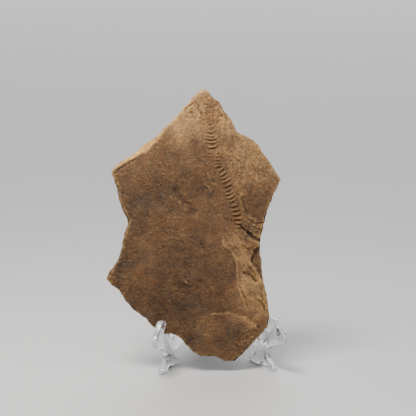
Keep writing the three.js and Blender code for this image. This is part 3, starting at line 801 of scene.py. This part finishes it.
class SlabSettings(bpy.types.PropertyGroup):
    voxel: length_property("Detail", "Spacing of the slab's points", 0.56 * MM)
    rim_jag: length_property("Rim jag", "How ragged the broken rim is", 0.45 * MM)
    rim_outset: length_property("Rim outset", "How far the rim stands outside the drawn outline", 0.4 * MM)
    # Umber is also the painted shade in the slab's hollows.
    umber: color_property("Umber", "The darkest stone, in hollows", (0.032, 0.015, 0.006))
    brown: color_property("Brown", "The common colour of the face", (0.135, 0.071, 0.031))
    tan: color_property("Tan", "The lightest stone", (0.50, 0.298, 0.107))
    rust: color_property("Rust", "Iron-stained patches", (0.52, 0.26, 0.09))
    stain: color_property("Stain", "Grey-black mineral stains", (0.042, 0.034, 0.027))
    # The worn colour is also a painted highlight on proud crests and rims.
    worn: color_property("Worn edge", "Rubbed ridges and rims", (0.50, 0.30, 0.112))
    fresh: color_property("Fresh break", "The pale broken bevel", (0.62, 0.348, 0.101))


class EaselSettings(bpy.types.PropertyGroup):
    edge_round: length_property("Edge rounding", "Radius of the plates' polished edges", 0.8 * MM)
    tint: color_property("Tint", "Colour of the clear plastic", (0.985, 0.99, 0.995))


class StageSettings(bpy.types.PropertyGroup):
    floor_color: color_property("Floor", "Colour of the plain floor", (0.39, 0.381, 0.372))
    floor_width: length_property("Floor width", "Side of the square floor", 60.0)
    light_bounces: bpy.props.IntProperty(
        name="Light bounces", description="How often light may turn inside the clear plastic",
        default=24, min=4,
    )
    world_color: color_property("Surroundings", "Colour of the even light all round", (0.80, 0.81, 0.83))


# ---- The slab ----
def ragged_outline(jag, outset):
    """The outline at about every millimetre, each point moved a little in or out."""
    corners = np.array(OUTLINE, float)
    following = np.roll(corners, -1, axis=0)
    points = []
    for start, end in zip(corners, following):
        steps = max(1, int(round(np.linalg.norm(end - start))))
        points += [start + (end - start) * step / steps for step in range(steps)]
    points = np.array(points)
    tangent = np.roll(points, -2, axis=0) - np.roll(points, 2, axis=0)
    outward = np.column_stack([tangent[:, 1], -tangent[:, 0]])
    outward /= np.linalg.norm(outward, axis=1)[:, None]
    shift = (outset + jag * layered_noise(points, 3.2, 41, layers=3, gain=0.6)) / MM
    return points + outward * shift[:, None]


def side_breaks(points):
    """How far a broken side stands in or out: thin beds that end at slightly different places."""
    beds = gradient_noise(points, (14, 14, 1.5), 51)
    crumbs = layered_noise(points, (3, 3, 1.2), 53)
    return 0.45 * np.clip(beds * 1.6, -1, 1) + 0.25 * crumbs


def refine_trackway(slab):
    """Four faces for each one along the trackway, whose marks are finer than the rest of the stone."""
    mesh = slab.data
    centres = np.empty(len(mesh.polygons) * 3)
    mesh.polygons.foreach_get("center", centres)
    centres = centres.reshape(-1, 3) / MM
    near = (distance_to_line(centres[:, :2], TRACK_LINE) < TRACK_HALF_WIDTH) & (centres[:, 2] > -0.1)
    pick_only(slab)
    bpy.ops.object.mode_set(mode="EDIT")
    bpy.ops.mesh.select_mode(type="FACE")
    bpy.ops.mesh.select_all(action="DESELECT")
    bpy.ops.object.mode_set(mode="OBJECT")
    mesh.polygons.foreach_set("select", near)
    bpy.ops.object.mode_set(mode="EDIT")
    bpy.ops.mesh.subdivide(number_cuts=1)
    bpy.ops.object.mode_set(mode="OBJECT")


def sculpt_slab(slab):
    """Moves every point of the remeshed blank to the stone's surface."""
    places = vertex_array(slab) / MM
    normals = np.empty(len(places) * 3)
    slab.data.vertex_normals.foreach_get("vector", normals)
    outward = normals.reshape(-1, 3)[:, :2]
    depth = np.clip(-places[:, 2] / SLAB_THICKNESS, 0, 1)
    taper = 1 - (1 - BACK_TAPER) * depth
    centre = np.array(SLAB_CENTRE)
    points = centre + (places[:, :2] - centre) / taper[:, None]

    front = front_surface(points) - rim_drop(points)
    places[:, 2] = front + (back_surface(points) - front) * depth
    broken = smooth(0.02, 0.12, depth) * smooth(0.99, 0.88, depth) * side_breaks(places)
    places[:, :2] += outward * broken[:, None]
    set_vertices(slab, places * MM)
    return points, depth


# How many times the stone is smoothed for comparison, and the height in millimetres that counts as proud.
PROUD_ROUNDS = 7
PROUD_HEIGHT = 0.2


def wear_and_shade_of(slab):
    """How proud each point stands of its neighbourhood, from 0 in a hollow to 1 on a crest; it drives the
    painted shade in hollows and the painted highlight, with rubbed wear, on crests.
    """
    mesh = slab.data
    places = vertex_array(slab)
    edges = np.empty(len(mesh.edges) * 2, np.int64)
    mesh.edges.foreach_get("vertices", edges)
    first, second = edges.reshape(-1, 2).T
    count = np.bincount(edges, minlength=len(places)).astype(float)
    blurred = places.copy()
    for _ in range(PROUD_ROUNDS):
        total = np.zeros_like(blurred)
        for axis in range(3):
            total[:, axis] += np.bincount(first, weights=blurred[second, axis], minlength=len(places))
            total[:, axis] += np.bincount(second, weights=blurred[first, axis], minlength=len(places))
        blurred = 0.5 * blurred + 0.5 * total / count[:, None]
    normals = np.empty(len(places) * 3)
    mesh.vertex_normals.foreach_get("vector", normals)
    proud = np.einsum("ij,ij->i", places - blurred, normals.reshape(-1, 3))
    return 0.5 + 0.5 * np.tanh(proud / (PROUD_HEIGHT * MM))


COMMON_TONE = 0.385

# Lighter and darker areas: the change of tone, then the fades across and up that bound the area. A fade runs
# from the place where the area starts to the place where it is full.
TONE_AREAS = [
    # The first rows make the upper part lighter: partly paler stone, partly painted light falling from above.
    (0.16, [], [(104, 124)]), (0.30, [], [(122, 150)]), (0.03, [], [(124, 134)]),
    (0.12, [(6, 22)], []),
    (0.14, [(2, 12)], [(98, 112)]),
    (0.07, [(-2, -8)], [(132, 140)]),
    (0.20, [(18, 28)], [(64, 50), (22, 34)]),
    (0.08, [(9, 15)], [(90, 100), (134, 126)]),
    (0.23, [(4, 14)], [(58, 50), (25, 34)]),
    (0.11, [(9, 15)], [(56, 64), (82, 76)]),
    (0.10, [(8, 12), (26, 16)], [(96, 102), (122, 114)]),
    (-0.035, [(0, -25)], [(45, 25)]),
    (-0.05, [(-44, -52)], [(100, 90)]),
]

# Lighter and darker patches: across, up, radius and the change of tone.
TONE_PATCHES = [
    (-6.8, 154.8, 2.2, -0.22), (-9.8, 149, 1.8, -0.15), (2.3, 148.3, 4.5, -0.14), (-13.4, 145.6, 5, 0.08),
    (10.7, 134.9, 4, -0.12), (-2.7, 159.3, 2.5, 0.1), (-18.7, 138.7, 5, 0.06), (7.4, 143.6, 2.5, 0.08),
    (1.2, 154.1, 2.5, -0.12), (23.6, 115.7, 5, 0.07), (29.3, 114.4, 3, -0.1), (14.3, 114.7, 3, -0.1),
    (20.4, 105.9, 3.5, -0.12), (20.5, 32.4, 1.4, -0.22), (11.8, 56.1, 1.8, -0.15), (27.8, 47.7, 1.6, -0.25),
    (17.6, 30.7, 2.2, 0.14), (24.8, 67.8, 2.2, -0.12), (20.9, 26.6, 2.6, 0.12), (12.8, 24, 1.3, -0.16),
    (-4.5, 21, 1.2, 0.16), (-4.3, 125.6, 4, -0.12), (-53.2, 61.7, 3.2, -0.12), (18, 38.4, 5, -0.1),
    (-51.5, 56.6, 2, -0.08), (-2, 55, 9, -0.05), (-1.8, 118.4, 8, 0.05), (16.4, 131.9, 6, -0.07),
    (24, 90, 9, -0.04), (-8, 108, 8, -0.05),
]


def area_tone(across, up):
    """The changes of tone of all the areas together."""
    total = np.zeros(len(up))
    for change, fades_across, fades_up in TONE_AREAS:
        area = np.full(len(up), change)
        for start, full in fades_across:
            area *= smooth(start, full, across)
        for start, full in fades_up:
            area *= smooth(start, full, up)
        total += area
    return total


def tone_of(points, depth):
    """How light the stone is: tan towards the top and over the folds, darker low on the left; part is painted
    light: lighter towards the top, highlights on the centre ridge and rim, shade in the right facet and along
    the low rim.
    """
    shifted = wandered(points, 9.0, 1.8, 81)
    across, up = shifted.T
    tone = COMMON_TONE + area_tone(across, up)
    tone += 0.09 * bell(across - 3, 10) * smooth(30, 40, up) * smooth(112, 100, up)
    tone += 0.30 * smooth(-5, 4, distance_inward(shifted, FOLD_BODY))
    # Painted highlight: a thin lighter line along the centre ridge's crest.
    tone += 0.05 * bell(distance_to_line(wandered(points, 3, 0.3, 83), CENTRE_RIDGE), 0.9)
    tone += 0.10 * smooth(-1.5, 2.0, distance_inward(shifted, RAISED_FOOT)) * smooth(12, 30, up)
    tone += 0.07 * bell(np.hypot((across + 37) / 15, (up - 58) / 8), 1.0)
    tone += 0.06 * bell((up - 55) / 8, 1.0) * smooth(-22, -30, across) * smooth(-48, -40, across)
    tone += 0.03 * bell(np.hypot((across + 30) / 20, (up - 98) / 16), 1.0)
    # Painted shade: the broken-away facet at the right rim is darker, as it lies in shade.
    tone -= 0.08 * smooth(0, 2, distance_inward(shifted, RIGHT_FACET))
    tone -= 0.20 * smooth(-1, 2, distance_inward(shifted, SCOOP)) * smooth(104, 96, up)
    for patch_across, patch_up, radius, change in TONE_PATCHES:
        tone += change * bell(np.hypot(across - patch_across, up - patch_up), radius)
    inward = distance_inward(points, OUTLINE)
    rim = smooth(1.6, 0.1, inward)
    # Painted shade: darker along the low rim, where its underside is in shade.
    tone -= 0.14 * smooth(2.2, 0.5, inward) * smooth(26, 14, points[:, 1])
    # Along the front rim: lighter flecks, partly paler broken stone and partly painted highlight; darker on
    # the low left.
    flecks = smooth(0.05, 0.6, layered_noise(points, 2.2, 85)) - 0.25
    tone += rim * smooth(0.5, 0.1, depth) * (0.05 + 0.3 * flecks - 0.16 * low_left(points))
    return tone + 0.06 * smooth(0.2, 0.8, depth)


def fresh_of(points, depth):
    """Where the rim is freshly broken and pale: in patches along the bevel at the upper left."""
    _, width, bevelled = rim_shape(points)
    inward = distance_inward(points, OUTLINE)
    patchy = np.clip(0.85 + 0.7 * layered_noise(points, 3.0, 87), 0, 1)
    patchy *= 1 - 0.45 * smooth(130, 140, points[:, 1])
    return patchy * smooth(1.1, 0.8, inward / width) * smooth(0.35, 0.1, depth) * smooth(0.3, 0.8, bevelled)


# Stained patches: across, up, half their width, half their height, and how dark they are.
DARK_PATCHES = [
    (-34.5, 100, 8, 5, 0.45), (-6.5, 127.9, 4.1, 8.1, 0.85), (-50, 59.5, 5, 6, 1.0), (-13, 42, 7, 6, 0.5),
    (-40.6, 34.7, 6, 4, 0.9), (14, 113, 4, 5, 0.6), (20.2, 106.8, 3.5, 2.3, 0.9),
    (15.1, 114.9, 2.9, 2.3, 1.2), (20.3, 113.1, 1.7, 2.3, 1.0), (33.7, 114.1, 2.9, 3.5, 0.9),
    (29.3, 126.3, 3.5, 3.5, 0.8), (2, 149.8, 4.1, 4.1, 1.0), (-3.7, 152.7, 2.3, 2.9, 1.0),
    (-8.2, 156.8, 2.9, 2.3, 0.9), (9.3, 140.4, 3.5, 4.1, 0.7), (15.6, 135.7, 2.3, 2.9, 0.8),
    (-41.5, 103.8, 4.1, 2.9, 0.5), (-21.4, 104.6, 3.5, 1.7, 0.8), (9.6, 21.5, 4.7, 2.9, 1.1),
    (20.3, 34.4, 2.3, 2.3, 1.1), (-45.9, 83.8, 1.7, 3.5, 1.0), (0.5, 148.3, 3, 7, 0.9), (17, 21, 8, 6, 0.5),
    (21, 80, 5, 4, 0.8), (28, 97, 4, 4, 0.6), (13, 60, 2.5, 6, 0.4), (-20, 33, 8, 6, 0.5),
    (20, 118, 9, 7, 0.4), (-45, 95, 6, 10, 0.25), (-8, 101, 9, 7, 0.6), (-10, 58, 6, 5, 0.4),
    (-4.3, 125.6, 3.5, 4.5, 0.9), (-53.2, 61.7, 3.5, 3.5, 0.9), (-51.5, 56.6, 2.5, 3, 0.7),
]
COMMON_STAIN = 0.25


def stain_of(points):
    """How much of the grey-black stain each point may take."""
    across, up = wandered(points, 8.0, 1.8, 91).T
    stain = np.full(len(points), COMMON_STAIN)
    for patch_across, patch_up, wide, high, strength in DARK_PATCHES:
        stain += strength * bell(np.hypot((across - patch_across) / wide, (up - patch_up) / high), 1.0)
    return stain


class TRACKWAY_OT_slab(bpy.types.Operator):
    """Build the sandstone slab with its trackway"""

    bl_idname = "trackway.slab"
    bl_label = "Sandstone slab"

    def execute(self, context):
        settings = context.scene.trackway_slab
        outline = ragged_outline(settings.rim_jag, settings.rim_outset)
        corners = np.column_stack([outline, np.zeros(len(outline))]) * MM
        slab = filled_outline("Sandstone_slab", corners)
        centre = (SLAB_CENTRE[0] * MM, SLAB_CENTRE[1] * MM, 0)
        extrude_face((0, 0, -SLAB_THICKNESS * MM), BACK_TAPER, centre)
        apply_modifier(slab, "REMESH", mode="VOXEL", voxel_size=settings.voxel)
        refine_trackway(slab)
        points, depth = sculpt_slab(slab)
        store_share(slab, "crest_wear_and_hollow_shade", wear_and_shade_of(slab))
        store_share(slab, "tone", tone_of(points, depth))
        store_share(slab, "stain", stain_of(points))
        store_share(slab, "fresh", fresh_of(points, depth))
        pick_only(slab)
        bpy.ops.object.shade_smooth()
        slab.data.transform(Matrix.Translation(SLAB_MIDDLE) @ Matrix.Rotation(math.pi / 2 - LEAN, 4, "X"))
        slab.data.materials.append(sandstone_material(settings))
        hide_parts("sandstone_slab")
        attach(slab, "root")
        return {"FINISHED"}


# ---- The easel ----
def face_line(up, behind=0.0):
    """How far back along a plate the slab's front plane lies, at a height."""
    return (up * math.tan(LEAN) + behind / math.cos(LEAN)) / math.cos(SPLAY)


def plate_strokes():
    """The plate's profile as strokes of (back, up) points: a line has one, a curve has its handles too."""
    seat_front = face_line(LEDGE_HEIGHT, -SEAT_MARGIN)
    seat_back = face_line(LEDGE_HEIGHT, SLAB_THICKNESS + BACKREST_PLAY)
    back_top = face_line(BACKREST_HEIGHT, SLAB_THICKNESS + BACKREST_PLAY)
    heel = CROSSING + HEEL_REACH
    return [
        [(3.4, 0)],
        [(8, 2.7), (12.4, 2.5)],
        [(14.8, 0.2), (17.2, 0)],
        [(24.4, 0)],
        [(27.6, 0.6), (25.6, 2.4)],
        [(22, 3.8), (19.8, 4.8), (19.4, 7.4)],
        [(19.2, 10), (26, 10.3)],
        [(CROSSING - 17, 11)],
        [(CROSSING - 7, 10), (CROSSING - 5, 1.4)],
        [(CROSSING - 3.6, 0)],
        [(heel - 1.4, 0)],
        [(heel, 0.4), (heel, 2)],
        [(heel, 22)],
        [(heel, 28), (heel - 6, 31)],
        [(CROSSING - 14, 36), (back_top + 10, 44), (back_top + 5, BACKREST_HEIGHT - 2)],
        [(back_top + 3.6, BACKREST_HEIGHT + 1), (back_top, BACKREST_HEIGHT)],
        [(seat_back, LEDGE_HEIGHT)],
        [(seat_front, LEDGE_HEIGHT)],
        [(2.4, LEDGE_HEIGHT), (0.8, 23.6), (2, 25.4)],
        [(4.2, 27.4)],
        [(5.7, 29.2), (3.5, 31.5), (-0.6, 31.1)],
        [(-4, 30.7), (-3.8, 27.9), (-7.4, 26.4)],
        [(-13.6, 23.6), (-13, 18.8), (-6.6, 17)],
        [(2, 14.6), (6.6, 12.4), (6.7, 8.6)],
        [(6.7, 5.2), (1.4, 4.6), (-0.6, 2.4)],
        [(-1.2, 0.3), (1, 0)],
    ]


def stroke_points(start, stroke, steps):
    """Points along one stroke, after its start: a straight line, or a curve with one or two handles."""
    handles = [np.array(point, float) for point in [start, *stroke]]
    if len(stroke) == 1:
        return [handles[1]]
    points = []
    for step in range(1, steps + 1):
        share = step / steps
        chain = handles
        while len(chain) > 1:
            chain = [a + (b - a) * share for a, b in zip(chain, chain[1:])]
        points.append(chain[0])
    return points


def plate_profile(steps=12):
    """The whole closed profile of a plate, with so many points to a curve."""
    points = [np.array((1.0, 0.0))]
    for stroke in plate_strokes():
        points += stroke_points(points[-1], stroke, steps)
    return points[:-1]


def plate_directions(side):
    """A plate's direction towards the back and across its thickness. Side is 1 on the left."""
    back = Vector((side * math.sin(SPLAY), math.cos(SPLAY), 0))
    return back, Vector((0, 0, 1)).cross(back)


# The block that cuts a halving slot: its length, and a height safely below the table.
CUTTER_LENGTH = 40.0
BELOW_TABLE = -1.0


def halving_cutter(side, low, high):
    """A block in the line of the other plate, which cuts the slot that the other plate drops into."""
    turn = math.pi / 2 + side * SPLAY
    place = EASEL_MIDDLE + Vector((0, TOE_HALF_SPACING / math.tan(SPLAY), (low + high) / 2)) * MM
    deselect_all()
    bpy.ops.mesh.primitive_cube_add(size=1, location=place, rotation=(0, 0, turn))
    cutter = bpy.context.object
    cutter.scale = (CUTTER_LENGTH * MM, (PLATE_THICKNESS + 2 * CLEARANCE) * MM, (high - low) * MM)
    bpy.ops.object.transform_apply(location=True, rotation=True, scale=True)
    return cutter


# Edges sharper than the first angle are polished round, and faces that meet at less than the second look
# like one. A face turned further than the last share from the plate's side belongs to its moulded edge.
POLISHED_ANGLE = 50
SMOOTH_ANGLE = 40
SIDE_SHARE = 0.9


def frost_and_glint_edges(plate, through):
    """Gives the second material, frosted and white as painted glint, to every face that doesn't lie flat on a
    side of the plate.
    """
    for face in plate.data.polygons:
        face.material_index = int(abs(face.normal.dot(through)) < SIDE_SHARE)


def build_plate(name, side, slot_low, slot_high, settings):
    """One side plate: its profile given its thickness, halved, and polished round at its edges."""
    back, through = plate_directions(side)
    toe = EASEL_MIDDLE + Vector((-side * TOE_HALF_SPACING, 0, 0)) * MM
    start = toe - through * (PLATE_THICKNESS / 2 * MM)
    corners = [start + (back * u + Vector((0, 0, 1)) * up) * MM for u, up in plate_profile()]
    plate = filled_outline(name, corners)
    extrude_face(through * PLATE_THICKNESS * MM)
    cutter = halving_cutter(side, slot_low, slot_high)
    apply_modifier(plate, "BOOLEAN", operation="DIFFERENCE", object=cutter, solver="EXACT")
    bpy.data.objects.remove(cutter)
    apply_modifier(
        plate, "BEVEL", width=settings.edge_round, segments=4, limit_method="ANGLE",
        angle_limit=math.radians(POLISHED_ANGLE), harden_normals=True,
    )
    clear_slivers(plate)
    bpy.ops.object.shade_smooth_by_angle(angle=math.radians(SMOOTH_ANGLE))
    return plate


class TRACKWAY_OT_easel(bpy.types.Operator):
    """Build the clear easel's two side plates"""

    bl_idname = "trackway.easel"
    bl_label = "Clear easel"

    def execute(self, context):
        settings = context.scene.trackway_easel
        plastic = clear_plastic_material(settings)
        # The edges' white colour is partly a frosted finish, partly painted glint.
        satin_and_glint = glint_satin_edge_material()
        slots = {1: (HALVING_HEIGHT, BACKREST_HEIGHT), -1: (BELOW_TABLE, HALVING_HEIGHT + CLEARANCE)}
        for side, node in ((1, "stand_plate_left"), (-1, "stand_plate_right")):
            plate = build_plate(node.title(), side, *slots[side], settings)
            plate.data.materials.append(plastic)
            plate.data.materials.append(satin_and_glint)
            frost_and_glint_edges(plate, plate_directions(side)[1])
            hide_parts(node)
            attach(plate, "root")
        return {"FINISHED"}


# ---- The stage: the camera's place from SLAB_MIDDLE, in millimetres and degrees ----
CAMERA_HEIGHT = 247.8
CAMERA_BACK = 825.9
CAMERA_ASIDE = 4.65
CAMERA_TURN = 5.5
CAMERA_PITCH = 10.43
LENS = 129.8
SENSOR_WIDTH = 36.0

# Each lamp: its place and target in metres, its width and height, its power in watts and its colour.
LAMPS = {
    "Key": ((-0.16, -0.16, 0.50), (0.0, 0.0, 0.09), (0.25, 0.18), 5.6, (1.0, 0.98, 0.95)),
    "Back_glow": ((1.6, 6.5, 3.3), (0.0, 0.0, 0.05), (9.0, 4.5), 400.0, (1.0, 1.0, 1.0)),
}


def add_lamp(name, place, target, size, power, color):
    """A soft oblong lamp that faces its target."""
    deselect_all()
    bpy.ops.object.light_add(type="AREA", location=place)
    light = bpy.context.object
    light.name = name
    light.data.shape = "RECTANGLE"
    light.data.size, light.data.size_y = size
    light.data.energy = power
    light.data.color = color
    light.rotation_euler = (Vector(target) - Vector(place)).to_track_quat("-Z", "Y").to_euler()


class TRACKWAY_OT_stage(bpy.types.Operator):
    """Build the plain floor, the soft lights and the camera"""

    bl_idname = "trackway.stage"
    bl_label = "Plain stage"

    def execute(self, context):
        settings = context.scene.trackway_stage
        deselect_all()
        bpy.ops.mesh.primitive_plane_add(size=settings.floor_width, location=(0, 0, 0))
        floor = context.object
        floor.name = "Floor"
        floor.data.materials.append(pale_floor_material(settings))

        world = bpy.data.worlds.new("Surroundings")
        world.use_nodes = True
        background = world.node_tree.nodes["Background"]
        background.inputs["Color"].default_value = (*settings.world_color, 1.0)
        background.inputs["Strength"].default_value = 1.0
        context.scene.world = world

        for name, lamp in LAMPS.items():
            add_lamp(name, *lamp)

        turn = math.radians(CAMERA_TURN)
        side = Vector((math.cos(turn), -math.sin(turn), 0))
        ahead = Vector((math.sin(turn), math.cos(turn), 0))
        offset = -CAMERA_BACK * ahead - CAMERA_ASIDE * side + Vector((0, 0, CAMERA_HEIGHT))
        place = SLAB_MIDDLE + offset * MM
        paths = context.scene.cycles
        paths.max_bounces = paths.glossy_bounces = paths.transmission_bounces = settings.light_bounces

        bpy.ops.object.camera_add(location=place, rotation=(math.radians(90 - CAMERA_PITCH), 0, -turn))
        camera = context.object
        camera.name = "Camera"
        camera.data.lens = LENS
        camera.data.sensor_width = SENSOR_WIDTH
        context.scene.camera = camera
        return {"FINISHED"}


# ---- Panel ----
class TRACKWAY_PT_panel(bpy.types.Panel):
    """Settings and build buttons"""

    bl_label = "Trackway slab"
    bl_idname = "TRACKWAY_PT_panel"
    bl_space_type = "VIEW_3D"
    bl_region_type = "UI"
    bl_category = "Trackway"

    def draw(self, context):
        scene = context.scene
        for group, operator in (
            (scene.trackway_slab, "trackway.slab"),
            (scene.trackway_easel, "trackway.easel"),
            (scene.trackway_stage, "trackway.stage"),
        ):
            box = self.layout.box()
            for name in group.bl_rna.properties.keys():
                if name not in {"rna_type", "name"}:
                    box.prop(group, name)
            box.operator(operator)


CLASSES = (
    SlabSettings, EaselSettings, StageSettings, TRACKWAY_OT_slab, TRACKWAY_OT_easel, TRACKWAY_OT_stage,
    TRACKWAY_PT_panel,
)


def register():
    for cls in CLASSES:
        bpy.utils.register_class(cls)
    bpy.types.Scene.trackway_slab = bpy.props.PointerProperty(type=SlabSettings)
    bpy.types.Scene.trackway_easel = bpy.props.PointerProperty(type=EaselSettings)
    bpy.types.Scene.trackway_stage = bpy.props.PointerProperty(type=StageSettings)


def unregister():
    del bpy.types.Scene.trackway_slab
    del bpy.types.Scene.trackway_easel
    del bpy.types.Scene.trackway_stage
    for cls in reversed(CLASSES):
        bpy.utils.unregister_class(cls)


def main():
    """Builds everything."""
    register()
    bpy.ops.trackway.slab()
    bpy.ops.trackway.easel()
    bpy.ops.trackway.stage()


if __name__ == "__main__":
    main()
